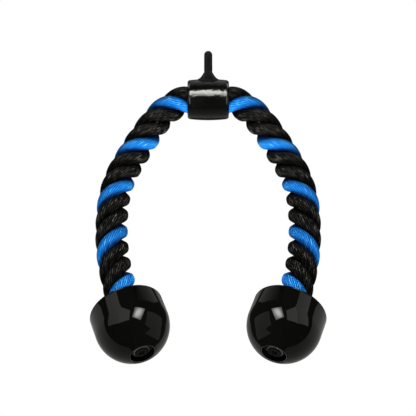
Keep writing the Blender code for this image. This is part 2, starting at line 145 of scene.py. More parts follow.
class CollarSettings(PropertyGroup):
    length: FloatProperty(
        name="Length", description="From mouth to mouth",
        default=COLLAR_HIGH.x - COLLAR_LOW.x, unit="LENGTH", precision=4)
    middle_radius: FloatProperty(
        name="Middle radius", description="At the top of the crown",
        default=0.020225, unit="LENGTH", precision=5)
    end_radius: FloatProperty(
        name="End radius", description="At the lips",
        default=0.019325, unit="LENGTH", precision=5)
    bore: FloatProperty(
        name="Bore", description="Radius inside",
        default=0.015625, unit="LENGTH", precision=5)
    lip: FloatProperty(
        name="Lip", description="Height of the round lip at each mouth",
        default=0.0025, unit="LENGTH", precision=4)
    lip_length: FloatProperty(
        name="Lip length", description="How far from the mouth the lip starts to round over",
        default=0.0035, unit="LENGTH", precision=4)
    mouth_depth: FloatProperty(
        name="Mouth depth", description="Length of the belled mouth",
        default=0.0050, unit="LENGTH", precision=4)
    mouth_flare: FloatProperty(
        name="Mouth flare", description="How far the mouth opens out",
        default=0.0008, unit="LENGTH", precision=4)
    axis_height: FloatProperty(
        name="Axis height", description="Height of the collar's axis",
        default=-0.047025, unit="LENGTH", precision=5)
    colour: FloatVectorProperty(
        name="Enamel", description="Colour of the collar's enamel",
        default=(0.0012, 0.0012, 0.0011), min=0.0, max=1.0, subtype="COLOR")


class EyeSettings(PropertyGroup):
    bar: FloatProperty(
        name="Bar", description="Diameter of the bent bar",
        default=0.0080, unit="LENGTH", precision=4)
    opening: FloatProperty(
        name="Opening", description="Clear width between the legs",
        default=0.0180, unit="LENGTH", precision=4)
    weld_height: FloatProperty(
        name="Weld height", description="How far the weld climbs the bar",
        default=0.0078, unit="LENGTH", precision=4)
    weld_reach: FloatProperty(
        name="Weld reach", description="How far the weld spreads along the collar",
        default=0.0060, unit="LENGTH", precision=4)
    colour: FloatVectorProperty(
        name="Enamel", description="Colour of the eye's enamel",
        default=(0.006, 0.006, 0.0058), min=0.0, max=1.0, subtype="COLOR")


class BallSettings(PropertyGroup):
    diameter: FloatProperty(
        name="Diameter", description="Across the ball's wall",
        default=0.0656, unit="LENGTH", precision=4)
    wall: FloatProperty(
        name="Wall", description="Length of the straight wall before the dome",
        default=0.0200, unit="LENGTH", precision=4)
    rim_fillet: FloatProperty(
        name="Rim fillet", description="Radius at the outside of the rim",
        default=0.0032, unit="LENGTH", precision=4)
    mouth_fillet: FloatProperty(
        name="Mouth fillet", description="Radius where the rope goes in",
        default=0.0020, unit="LENGTH", precision=4)
    bore: FloatProperty(
        name="Bore", description="Radius of the rope's hole",
        default=0.015925, unit="LENGTH", precision=5)
    bore_depth: FloatProperty(
        name="Bore depth", description="Depth of the rope's hole",
        default=0.0350, unit="LENGTH", precision=4)
    recess: FloatProperty(
        name="Recess", description="Diameter of the recess in the dome",
        default=0.0220, unit="LENGTH", precision=4)
    recess_floor: FloatProperty(
        name="Recess floor", description="Distance of the recess's floor from the rim",
        default=0.0442, unit="LENGTH", precision=4)
    colour: FloatVectorProperty(
        name="Plastic", description="Colour of the balls",
        default=(0.0006, 0.0006, 0.0005), min=0.0, max=1.0, subtype="COLOR")


class ScrewSettings(PropertyGroup):
    washer: FloatProperty(
        name="Washer", description="Diameter of the washer",
        default=0.0190, unit="LENGTH", precision=4)
    washer_thickness: FloatProperty(
        name="Washer thickness", description="Thickness of the washer",
        default=0.0015, unit="LENGTH", precision=4)
    head: FloatProperty(
        name="Head", description="Diameter of the screw's head",
        default=0.0148, unit="LENGTH", precision=4)
    head_height: FloatProperty(
        name="Head height", description="Height of the screw's head",
        default=0.0028, unit="LENGTH", precision=4)
    socket: FloatProperty(
        name="Socket", description="Width across the socket's flats",
        default=0.0050, unit="LENGTH", precision=4)
    shank: FloatProperty(
        name="Shank", description="Diameter of the screw's shank",
        default=0.0060, unit="LENGTH", precision=4)
    colour: FloatVectorProperty(
        name="Steel", description="Colour of the blackened steel",
        default=(0.012, 0.012, 0.0125), min=0.0, max=1.0, subtype="COLOR")


class StageSettings(PropertyGroup):
    lens: FloatProperty(
        name="Lens", description="Focal length in millimetres", default=95.19)
    look_up: FloatProperty(
        name="Look up", description="How far the camera looks up",
        default=math.radians(28.5), subtype="ANGLE")
    floor_height: FloatProperty(
        name="Floor", description="Height of the floor", default=-1.30, unit="LENGTH")
    sky: FloatProperty(
        name="Sky", description="Strength of the even light from all sides", default=0.10)
    key: FloatProperty(
        name="Key lamp", description="Power of the low lamp in front, in watts", default=34.0)
    fill: FloatProperty(
        name="Fill lamp", description="Power of the level lamp in front, in watts", default=3.5)
    rear_fill: FloatProperty(
        name="Rear fill lamp", description="Power of the high lamp behind, in watts", default=16.0)
    rim_fill: FloatProperty(
        name="Rim fill lamps", description="Power of the small lamp in front of each ball's rim, "
        "in watts", default=0.25)


# Small tools for meshes

def ease(share):
    """A smooth rise from 0 to 1."""
    share = min(max(share, 0.0), 1.0)
    return share * share * (3 - 2 * share)


def merge_doubles(bm):
    """Make one vertex of those that share a place."""
    bmesh.ops.remove_doubles(bm, verts=bm.verts, dist=1e-6)


def new_piece(name, bm, *materials, sharp=35):
    """Close the doubles of a bmesh and put it into the scene as an object at the origin."""
    merge_doubles(bm)
    bmesh.ops.recalc_face_normals(bm, faces=bm.faces)
    mesh = bpy.data.meshes.new(name)
    bm.to_mesh(mesh)
    bm.free()
    mesh.shade_smooth()
    mesh.set_sharp_from_angle(angle=math.radians(sharp))
    for material in materials:
        mesh.materials.append(material)
    piece = bpy.data.objects.new(name, mesh)
    bpy.context.scene.collection.objects.link(piece)
    return piece


def one_face(points):
    """A bmesh with one flat face."""
    bm = bmesh.new()
    bm.faces.new([bm.verts.new(point) for point in points])
    return bm


def only(geometry, kind):
    """The parts of one kind in what a bmesh operator hands back."""
    return [part for part in geometry if isinstance(part, kind)]


def arc(centre, radius, start, end, steps):
    """Points of a round stretch in an outline, with angles in degrees from the height axis."""
    points = []
    for step in range(steps + 1):
        angle = math.radians(start + (end - start) * step / steps)
        points.append((centre[0] + radius * math.cos(angle), centre[1] + radius * math.sin(angle)))
    return points


def turned(outline, segments, closed, place=Matrix.Identity(4)):
    """Spin an outline of (height, radius) points about Z and set the result in its place."""
    bm = bmesh.new()
    verts = [bm.verts.new((radius, 0, height)) for height, radius in outline]
    pairs = list(zip(verts, verts[1:]))
    if closed:
        pairs.append((verts[-1], verts[0]))
    edges = [bm.edges.new(pair) for pair in pairs]
    bmesh.ops.spin(bm, geom=verts + edges, cent=(0, 0, 0), axis=(0, 0, 1), angle=math.tau,
                   steps=segments, use_merge=True, use_duplicate=False)
    merge_doubles(bm)
    bmesh.ops.transform(bm, matrix=place, verts=bm.verts)
    return bm


def settle(piece):
    """Keep what a piece's modifiers make as its own mesh."""
    bpy.context.view_layer.update()
    seen = piece.evaluated_get(bpy.context.evaluated_depsgraph_get())
    made = bpy.data.meshes.new_from_object(seen)
    piece.modifiers.clear()
    old, piece.data = piece.data, made
    bpy.data.meshes.remove(old)
    made.name = piece.name


def cut_away(piece, cutter):
    """Subtract a cutter from a piece and throw the cutter away."""
    boolean = piece.modifiers.new("cut", "BOOLEAN")
    boolean.operation = "DIFFERENCE"
    boolean.solver = "EXACT"
    boolean.object = cutter
    settle(piece)
    bpy.data.objects.remove(cutter, do_unlink=True)


def collar_frame(axis_height):
    """The collar's own frame, with its +Z along the object's +X."""
    return Matrix.Translation((0, 0, axis_height)) @ Matrix.Rotation(math.pi / 2, 4, "Y")


def collar_crown(sizes, depth=0.0):
    """(height, radius) points of the crown between the lips, or of a layer at a depth under it."""
    reach = sizes.length / 2 - sizes.lip_length
    rise = sizes.middle_radius - sizes.end_radius
    shares = [step / 12 - 1 for step in range(25)]
    return [(share * reach, sizes.end_radius + rise * (1 - share * share) - depth)
            for share in shares]


def ball_frame(side):
    """The frame of a ball: its origin at the centre of the rim, its +Z down the ball's axis."""
    place = Vector((-side * RIM_CENTRE.x, RIM_CENTRE.y, RIM_CENTRE.z))
    down = Vector((-side * BALL_AXIS.x, BALL_AXIS.y, BALL_AXIS.z))
    front = Vector((0, -1, 0))
    front = (front - down * front.dot(down)).normalized()
    turn = Matrix((down.cross(front).cross(down), down.cross(front), down)).transposed()
    return Matrix.Translation(place) @ turn.to_4x4()


# The rope's run

def smooth_route(points, step):
    """Points about a step apart, with their distances, on a smooth curve through given points."""
    spans = [(after - before).length for before, after in zip(points, points[1:])]
    slopes = [(points[1] - points[0]) / spans[0]]
    for index in range(1, len(points) - 1):
        before = (points[index] - points[index - 1]) / spans[index - 1]
        after = (points[index + 1] - points[index]) / spans[index]
        slopes.append(before.lerp(after, spans[index - 1] / (spans[index - 1] + spans[index])))
    slopes.append((points[-1] - points[-2]) / spans[-1])
    curve = [points[0].copy()]
    for index, span in enumerate(spans):
        pieces = max(2, math.ceil(span / step))
        for piece in range(1, pieces + 1):
            t = piece / pieces
            curve.append(points[index] * (2 * t ** 3 - 3 * t ** 2 + 1)
                         + slopes[index] * span * (t ** 3 - 2 * t ** 2 + t)
                         + points[index + 1] * (3 * t ** 2 - 2 * t ** 3)
                         + slopes[index + 1] * span * (t ** 3 - t ** 2))
    distances = [0.0]
    for before, after in zip(curve, curve[1:]):
        distances.append(distances[-1] + (after - before).length)
    return curve, distances


CENTRELINE, DISTANCES = smooth_route([Vector(point) for point in ROPE_ROUTE], step=0.001)
ROPE_LENGTH = DISTANCES[-1]


def place_on_route(distance):
    """The centreline's point and direction at a distance from the rope's butt end."""
    index = 1
    while index < len(DISTANCES) - 1 and DISTANCES[index] < distance:
        index += 1
    share = (distance - DISTANCES[index - 1]) / (DISTANCES[index] - DISTANCES[index - 1])
    ahead, behind = min(index + 1, len(CENTRELINE) - 1), max(index - 2, 0)
    direction = (CENTRELINE[ahead] - CENTRELINE[behind]).normalized()
    return CENTRELINE[index - 1].lerp(CENTRELINE[index], share), direction


def read_turns(place):
    """Turns at a place in the table, along straight lines that run on past its ends."""
    index = 0
    while index < len(TURN_PLACES) - 2 and place > TURN_PLACES[index + 1]:
        index += 1
    start, end = TURN_PLACES[index:index + 2]
    return index + (place - start) / (end - start)


def lay_turns(distance, lay):
    """Turns of the blue strand at a distance along the rope, smoothed over half a turn."""
    middle = distance + BUTT_OFFSET
    reach = lay / 4
    return (read_turns(middle - reach) + 2 * read_turns(middle) + read_turns(middle + reach)) / 4


def rope_share(distance, sizes):
    """How full the rope is: crimped in the collar and in the ferrule."""
    leaving = ease((distance - MOUTH_DISTANCE) / sizes.swell)
    ferrule_mouth = ROPE_LENGTH - FERRULE_LENGTH
    rim = ROPE_LENGTH - ROPE_END_DEPTH
    entering = ease((ferrule_mouth - distance) / (ferrule_mouth - rim))
    return sizes.crimp + (1 - sizes.crimp) * min(leaving, entering)


YARN_POINTS = 5  # columns of points to one yarn
STRAND_WIDTH = 1.33  # a strand's width in times its thickness
LOOSE_YARNS = 0.0002  # room for yarns that stand out beyond the rope's diameter
STRAY = 0.00012  # how far the yarns stray up and down
STRAY_ROUND, STRAY_ALONG, STRAY_STRANDS = 1.5, 90, 9  # how the strays are spread in the noise


def strand_section(diameter):
    """A strand's half thickness, and its centre's distance from the rope's, where three touch."""
    lean = math.tan(math.pi / 3)
    radius = diameter / 2
    thick = (radius - LOOSE_YARNS) / (1 + math.sqrt(lean ** 2 + STRAND_WIDTH ** 2) / lean)
    return thick, radius - thick


def strand_rings(rows, number, sizes):
    """For each ring of points: centre, outward and sideways directions, fullness, angle, place."""
    rings = []
    for row in range(rows + 1):
        distance = ROPE_LENGTH * row / rows
        centre, along = place_on_route(distance)
        front = Vector((0, -1, 0))
        front = (front - along * front.dot(along)).normalized()
        inward = front.cross(along)
        angle = (lay_turns(distance, sizes.lay) + number / 3) * math.tau
        outward = inward * math.cos(angle) + front * math.sin(angle)
        across = front * math.cos(angle) - inward * math.sin(angle)
        rings.append((centre, outward, across, rope_share(distance, sizes), angle, distance))
    return rings


def lay_strand(bm, uv_map, round_map, number, side, sizes):
    """Roll a grid into one strand, with a ridge for each yarn, and lay it round the centreline."""
    columns = sizes.yarns * YARN_POINTS
    rows = round(ROPE_LENGTH / sizes.ring_step)
    verts = bmesh.ops.create_grid(bm, x_segments=columns, y_segments=rows, size=0.5)["verts"]
    for face in {face for vert in verts for face in vert.link_faces}:
        face.material_index = min(number, 1)
        for loop in face.loops:
            loop[uv_map].uv = ((number + loop.vert.co.x + 0.5) / 3, loop.vert.co.y + 0.5)

    thick, offset = strand_section(sizes.diameter)
    rings = strand_rings(rows, number, sizes)
    yarn_pull = sizes.yarn_pull * (sizes.diameter / 2) / (STRAND_WIDTH * thick)
    for vert in verts:
        column, row = (vert.co.x + 0.5) * columns, round((vert.co.y + 0.5) * rows)
        centre, outward, across, share, angle, distance = rings[row]
        turn = math.tau * column / columns - yarn_pull * angle
        crest = abs(math.sin(math.pi * column / YARN_POINTS))
        stray = noise.noise(Vector((
            math.cos(turn) * STRAY_ROUND,
            math.sin(turn) * STRAY_ROUND + STRAY_STRANDS * number,
            distance * STRAY_ALONG)))
        full = 1 - (sizes.yarn_depth * (1 - crest) - STRAY * stray) / thick
        point = centre + (outward * (offset + thick * full * math.cos(turn))
                          + across * thick * STRAND_WIDTH * full * math.sin(turn)) * share
        for loop in vert.link_loops:
            loop[round_map].uv = (0.5 + 0.5 * math.cos(turn), 0.5 + 0.5 * math.sin(turn))
        vert.co = (-side * point.x, point.y, point.z)
    bmesh.ops.remove_doubles(bm, verts=verts, dist=1e-7)


# Small tools for materials

def feed(tree, socket, value):
    """Set a socket, or link it where the value is another node's socket."""
    if isinstance(value, bpy.types.NodeSocket):
        tree.links.new(value, socket)
    else:
        socket.default_value = value


def node(tree, kind, inputs=None, **settings):
    """Add a node with its settings, and set or link its inputs by name or number."""
    made = tree.nodes.new(kind)
    for name, value in settings.items():
        setattr(made, name, value)
    for name, value in (inputs or {}).items():
        feed(tree, made.inputs[name], value)
    return made


def maths(tree, operation, first, second=0.0):
    """One Math node's result."""
    return node(tree, "ShaderNodeMath", {0: first, 1: second}, operation=operation).outputs[0]


def blend_colours(tree, share, first, second):
    """Mix two colours by a share."""
    mixed = node(tree, "ShaderNodeMix", data_type="RGBA")
    for number, value in ((0, share), (6, first), (7, second)):
        feed(tree, mixed.inputs[number], value)
    return mixed.outputs[2]


def spread(tree, value, low, high, to_low, to_high):
    """Stretch a value from one range to another, held at its ends."""
    return node(tree, "ShaderNodeMapRange", {
        "Value": value, "From Min": low, "From Max": high,
        "To Min": to_low, "To Max": to_high}).outputs[0]


def seen_rays(tree):
    """1 for what the camera, a reflection or a view through glass looks at, 0 for other light."""
    rays = node(tree, "ShaderNodeLightPath").outputs
    mirrored = maths(tree, "MAXIMUM", rays["Is Glossy Ray"], rays["Is Transmission Ray"])
    return maths(tree, "MAXIMUM", rays["Is Camera Ray"], mirrored)


def new_group(name, inputs, outputs):
    """A shader node group with named inputs (name, kind, default) and outputs (name, kind)."""
    tree = bpy.data.node_groups.new(name, "ShaderNodeTree")
    for label, kind, default in inputs:
        socket = tree.interface.new_socket(name=label, in_out="INPUT", socket_type=kind)
        if default is not None:
            socket.default_value = default
    for label, kind in outputs:
        tree.interface.new_socket(name=label, in_out="OUTPUT", socket_type=kind)
    given, wanted = tree.nodes.new("NodeGroupInput"), tree.nodes.new("NodeGroupOutput")
    return tree, given.outputs, wanted.inputs


def laid_yarn_group():
    """Colour, roughness and height of silky yarns that run along a strand's own UV maps, with
    painted shade in the hollows and painted sheen on the crests.
    """
    tree, given, wanted = new_group(
        "Laid yarn",
        (("Place", "NodeSocketVector", None), ("Round", "NodeSocketVector", None),
         ("Yarns", "NodeSocketFloat", 22.0), ("Body", "NodeSocketColor", (0, 0, 0, 1)),
         ("Crest", "NodeSocketColor", (0, 0, 0, 1)), ("Hollow", "NodeSocketColor", (0, 0, 0, 1)),
         ("Fibre slant", "NodeSocketFloat", 30.0)),
        (("Colour", "NodeSocketColor"), ("Roughness", "NodeSocketFloat"),
         ("Height", "NodeSocketFloat")))
    place = node(tree, "ShaderNodeSeparateXYZ", {0: given["Place"]})
    outside = node(tree, "ShaderNodeSeparateXYZ", {0: given["Round"]}).outputs[0]
    yarns_in_rope = maths(tree, "MULTIPLY", given["Yarns"], 3.0)
    around = maths(tree, "MULTIPLY", place.outputs[0], yarns_in_rope)
    along = place.outputs[1]
    yarn = maths(tree, "FLOOR", around)
    across = maths(tree, "FRACT", around)
    crest = maths(tree, "SINE", maths(tree, "MULTIPLY", across, math.pi))

    # Fine fibres, slanted across each yarn, and a slower change of tone along it
    slanted = maths(tree, "ADD", maths(tree, "MULTIPLY", across, 4.0),
                    maths(tree, "MULTIPLY", along, given["Fibre slant"]))
    fibre_place = node(tree, "ShaderNodeCombineXYZ", {
        0: slanted, 1: maths(tree, "MULTIPLY", along, 60.0),
        2: maths(tree, "MULTIPLY", yarn, 7.3)})
    fibre = node(tree, "ShaderNodeTexNoise", {
        "Vector": fibre_place.outputs[0], "Scale": 1.0, "Detail": 2.0})
    tone_place = node(tree, "ShaderNodeCombineXYZ", {
        0: maths(tree, "MULTIPLY", yarn, 3.7), 1: maths(tree, "MULTIPLY", along, 34.0)})
    tone = node(tree, "ShaderNodeTexNoise", {
        "Vector": tone_place.outputs[0], "Scale": 1.0, "Detail": 1.0})

    # Painted shade between the yarns and between the strands, and a painted sheen on the fibres of
    # the outermost crests, which are also smoother
    # open_side and body_share paint shade: the colour sinks towards the hollow colour, a painted
    # shade, in the grooves between yarns and towards the creases between strands
    open_side = spread(tree, outside, 0.45, 0.90, 0.0, 1.0)
    body_share = maths(tree, "MULTIPLY", spread(tree, crest, 0.05, 0.75, 0.10, 1.0), open_side)
    body = blend_colours(tree, body_share, given["Hollow"], given["Body"])
    # The shine mask paints a sheen: it blends in the crest colour, a painted highlight, on the
    # outermost fibres, and lowers the roughness there
    shine = spread(tree, fibre.outputs[0], 0.49, 0.66, 0.0, 1.0)
    for dimmer in (spread(tree, tone.outputs[0], 0.40, 0.60, 0.2, 1.0),
                   spread(tree, crest, 0.45, 1.0, 0.0, 1.0),
                   spread(tree, outside, 0.70, 0.95, 0.25, 1.0)):
        shine = maths(tree, "MULTIPLY", shine, dimmer)
    height = maths(tree, "ADD", maths(tree, "MULTIPLY", crest, 0.5), fibre.outputs[0])
    tree.links.new(blend_colours(tree, shine, body, given["Crest"]), wanted["Colour"])
    tree.links.new(spread(tree, shine, 0.0, 1.0, 0.60, 0.36), wanted["Roughness"])
    tree.links.new(height, wanted["Height"])
    return tree


def skin_group():
    """Height, roughness and a dust mask of a painted or moulded surface in a gym."""
    tree, given, wanted = new_group(
        "Handled skin",
        (("Place", "NodeSocketVector", None), ("Ripple scale", "NodeSocketFloat", 90.0),
         ("Grain scale", "NodeSocketFloat", 900.0), ("Smooth", "NodeSocketFloat", 0.06),
         ("Smudged", "NodeSocketFloat", 0.14)),
        (("Height", "NodeSocketFloat"), ("Roughness", "NodeSocketFloat"),
         ("Dust", "NodeSocketFloat")))
    ripple = node(tree, "ShaderNodeTexNoise", {
        "Vector": given["Place"], "Scale": given["Ripple scale"], "Detail": 1.0}).outputs[0]
    grain = node(tree, "ShaderNodeTexNoise", {
        "Vector": given["Place"], "Scale": given["Grain scale"], "Detail": 2.0}).outputs[0]
    smudge = node(tree, "ShaderNodeTexNoise", {
        "Vector": given["Place"], "Scale": 55.0, "Detail": 3.0, "Distortion": 0.6}).outputs[0]
    dust = maths(tree, "MULTIPLY", spread(tree, grain, 0.62, 0.78, 0.0, 1.0),
                 spread(tree, smudge, 0.45, 0.65, 0.0, 1.0))
    height = maths(tree, "ADD", ripple, maths(tree, "MULTIPLY", grain, 0.12))
    rough = spread(tree, smudge, 0.35, 0.70, given["Smooth"], given["Smudged"])
    tree.links.new(height, wanted["Height"])
    tree.links.new(rough, wanted["Roughness"])
    tree.links.new(dust, wanted["Dust"])
    return tree


def new_material(name, **constants):
    """A material with its Principled shader, whose constants are set on its own sockets."""
    material = bpy.data.materials.new(name)
    material.use_nodes = True
    shader = material.node_tree.nodes["Principled BSDF"]
    for label, value in constants.items():
        socket = label.replace("_", " ").title().replace("Ior", "IOR")
        shader.inputs[socket].default_value = value
    return material, material.node_tree, shader


def dress(tree, shader, colour, roughness, height, strength, distance):
    """Link a shader's colour and roughness, and a bump made from a height."""
    bump = node(tree, "ShaderNodeBump", {
        "Height": height, "Strength": strength, "Distance": distance})
    tree.links.new(colour, shader.inputs["Base Color"])
    tree.links.new(roughness, shader.inputs["Roughness"])
    tree.links.new(bump.outputs[0], shader.inputs["Normal"])


def use_group(tree, group, inputs):
    """Place a shared group in a material with its own values."""
    return node(tree, "ShaderNodeGroup", inputs, node_tree=bpy.data.node_groups[group]).outputs


def rope_material(name, body, crest, hollow, yarns):
    """Silky laid yarn in one colour, with a painted sheen on its crests and painted shade in its
    hollows.
    """
    material, tree, shader = new_material(name, specular_ior_level=0.05)
    place, outside = (node(tree, "ShaderNodeUVMap", uv_map=uv_map).outputs[0]
                      for uv_map in ("lay", "round"))
    yarn = use_group(tree, "Laid yarn", {
        "Place": place, "Round": outside, "Yarns": float(yarns),
        "Body": (*body, 1), "Crest": (*crest, 1), "Hollow": (*hollow, 1)})
    dress(tree, shader, yarn["Colour"], yarn["Roughness"], yarn["Height"],
          strength=0.6, distance=0.00025)
    return material


def skin_material(name, colour, dust, ripple, grain, smooth, smudged, depth, **constants):
    """A painted or moulded finish with smudges, ripples and a little dust."""
    material, tree, shader = new_material(name, **constants)
    place = node(tree, "ShaderNodeTexCoord")
    skin = use_group(tree, "Handled skin", {
        "Place": place.outputs["Object"], "Ripple scale": ripple, "Grain scale": grain,
        "Smooth": smooth, "Smudged": smudged})
    shade = blend_colours(tree, skin["Dust"], (*colour, 1), (*dust, 1))
    dress(tree, shader, shade, skin["Roughness"], skin["Height"], strength=0.35, distance=depth)
    return material


def tape_material(name):
    """Matt woven tape round the rope's hidden end."""
    material, tree, shader = new_material(name, specular_ior_level=0.3)
    place = node(tree, "ShaderNodeTexCoord").outputs["Object"]
    threads = node(tree, "ShaderNodeTexWave", {
        "Vector": place, "Scale": 900.0, "Distortion": 1.5, "Detail": 1.0},
        bands_direction="X").outputs["Fac"]
    stain = node(tree, "ShaderNodeTexNoise", {
        "Vector": place, "Scale": 260.0, "Detail": 3.0}).outputs[0]
    shade = maths(tree, "MULTIPLY", threads, stain)
    colour = blend_colours(tree, shade, (0.018, 0.018, 0.018, 1), (0.060, 0.058, 0.055, 1))
    dress(tree, shader, colour, spread(tree, shade, 0.0, 1.0, 0.85, 0.65), threads,
          strength=0.5, distance=0.0001)
    return material


# The painted sheen on the fibres and the painted shade in the hollows between the yarns of each
# strand
YARNS = {
    "blue_strand": dict(crest=(0.13, 0.57, 1.0), hollow=(0.0005, 0.015, 0.09)),
    "black_strand": dict(crest=(0.150, 0.144, 0.126), hollow=(0.0003, 0.0003, 0.0003)),
}
# Each skin's dust colour, its ripple and grain scales, its roughness where it is smooth and where
# it is smudged, the depth of its bumps, and what else its shader needs
SKINS = {
    "gloss_collar": dict(dust=(0.015, 0.015, 0.0135), ripple=220.0, grain=1100.0,
                         smooth=0.10, smudged=0.17, depth=0.0010),
    "satin_eye": dict(dust=(0.05, 0.05, 0.045), ripple=220.0, grain=1500.0,
                      smooth=0.30, smudged=0.40, depth=0.0003, specular_ior_level=0.08),
    "gloss_ball": dict(dust=(0.0024, 0.0024, 0.0022), ripple=40.0, grain=900.0,
                       smooth=0.015, smudged=0.05, depth=0.00006),
    "scuffed_edge": dict(dust=(0.004, 0.004, 0.004), ripple=300.0, grain=500.0,
                         smooth=0.20, smudged=0.40, depth=0.0001),
    "blackened_steel": dict(dust=(0.10, 0.09, 0.08), ripple=300.0, grain=1600.0,
                            smooth=0.22, smudged=0.36, depth=0.0001, metallic=0.9),
}
# Lighter than the ball's plastic: partly scuffing, partly a painted highlight ring on the recess
# mouth and round the screw heads' edges
SCUFF_AND_HIGHLIGHT_COLOUR = (0.015, 0.015, 0.0145)


def make_material(name):
    """Make one of the attachment's finishes."""
    scene = bpy.context.scene
    rope = scene.rope_sizes
    colours = {"blue_strand": rope.blue, "black_strand": rope.black,
               "gloss_collar": scene.collar_sizes.colour, "satin_eye": scene.eye_sizes.colour,
               "gloss_ball": scene.ball_sizes.colour, "scuffed_edge": SCUFF_AND_HIGHLIGHT_COLOUR,
               "blackened_steel": scene.screw_sizes.colour}
    if name in YARNS:
        return rope_material(name, colours[name], yarns=rope.yarns, **YARNS[name])
    if name in SKINS:
        return skin_material(name, colours[name], **SKINS[name])
    return tape_material(name)


FINISHES = {}


def material_of(name):
    """One of the attachment's finishes, made on first use."""
    if not FINISHES:
        laid_yarn_group()
        skin_group()
    if name not in FINISHES:
        FINISHES[name] = make_material(name)
    return FINISHES[name]


# Operators, one for each piece or group of like pieces

CAMERA_PLACE = (0, -0.9013, -0.6578)
CAMERA_SHIFT = -0.0005
SENSOR_WIDTH = 36
FLOOR_GLOW = 0.62  # the floor's own glow, which only the camera and reflections see
CARD_COLOUR = (0.985, 1.0, 0.94, 1)
WALL_OFFSET = 0.002  # from the dark wall to the cards on it
LEFT_BALL_MIDDLE = Vector((-0.0655, -0.018, -0.294))
SKY_DISTANCE = 0.85  # from the ball to the curved cards
TENT_RADIUS, TENT_HEIGHT = 1.04, -0.25  # its middle's height
TOP_GLOW_HEIGHT = 0.12
STRIP_DISTANCE = -0.15
LIP_STRIP_HEIGHT = -0.12

# Cards on the wall between the balls: name, (y, z) corners, two strengths, axis and its reach
WALL_CARDS = (
    ("dim_window", ((-0.090, -0.260), (-0.051, -0.273), (-0.029, -0.281), (-0.027, -0.304),
                    (-0.010, -0.328), (-0.079, -0.355), (-0.062, -0.323), (-0.098, -0.321)),
     0.22, 0.30, "Z", None),
    ("upper_glow", ((-0.160, -0.120), (-0.131, -0.138), (-0.083, -0.185), (-0.035, -0.226),
                    (-0.003, -0.226), (-0.003, -0.120)), 0.08, 0.33, "Y", (-0.100, -0.008)),
    ("rear_window", ((0.018, -0.190), (0.016, -0.250), (-0.008, -0.288), (0.006, -0.345),
                     (0.119, -0.350), (0.119, -0.122)), 0.30, 0.42, "Y", None),
)
# Curved cards at both sides: name, (azimuth, elevation) corners, two strengths and the axis
SKY_CARDS = (
    ("window_left", ((-72, -9), (-35, -11.4), (-34, 46), (-66, 34)), 0.48, 0.72, "X"),
    ("window_right", ((-35, -11.4), (-4.5, -5.5), (-2.7, 23.6), (-34.2, 35.6)), 0.72, 0.80, "X"),
    ("outer_sheet", ((-178, -85), (-83, -85), (-86, 18), (-178, 26)), 0.15, 0.48, "Z"),
    ("top_strip", ((-85, 58), (-42, 58), (-42, 76), (-85, 76)), 3.0, 3.0, "Z"),
)
# Level cards: name, half width, near and far edges, height, two strengths and the reach along Y
LEVEL_CARDS = (
    ("strip_shield", 0.12, -0.155, -0.105, -0.088, 0.03, 0.03, None),
    ("collar_under_card", 0.030, -0.150, 0.070, -0.090, 0.02, 0.40, (-0.015, 0.040)),
)


def on_patch(corners, across, up):
    """A place on a patch with four corners, at a share of each of its two sides."""
    lower = Vector(corners[0]).lerp(Vector(corners[1]), across)
    upper = Vector(corners[3]).lerp(Vector(corners[2]), across)
    return lower.lerp(upper, up)


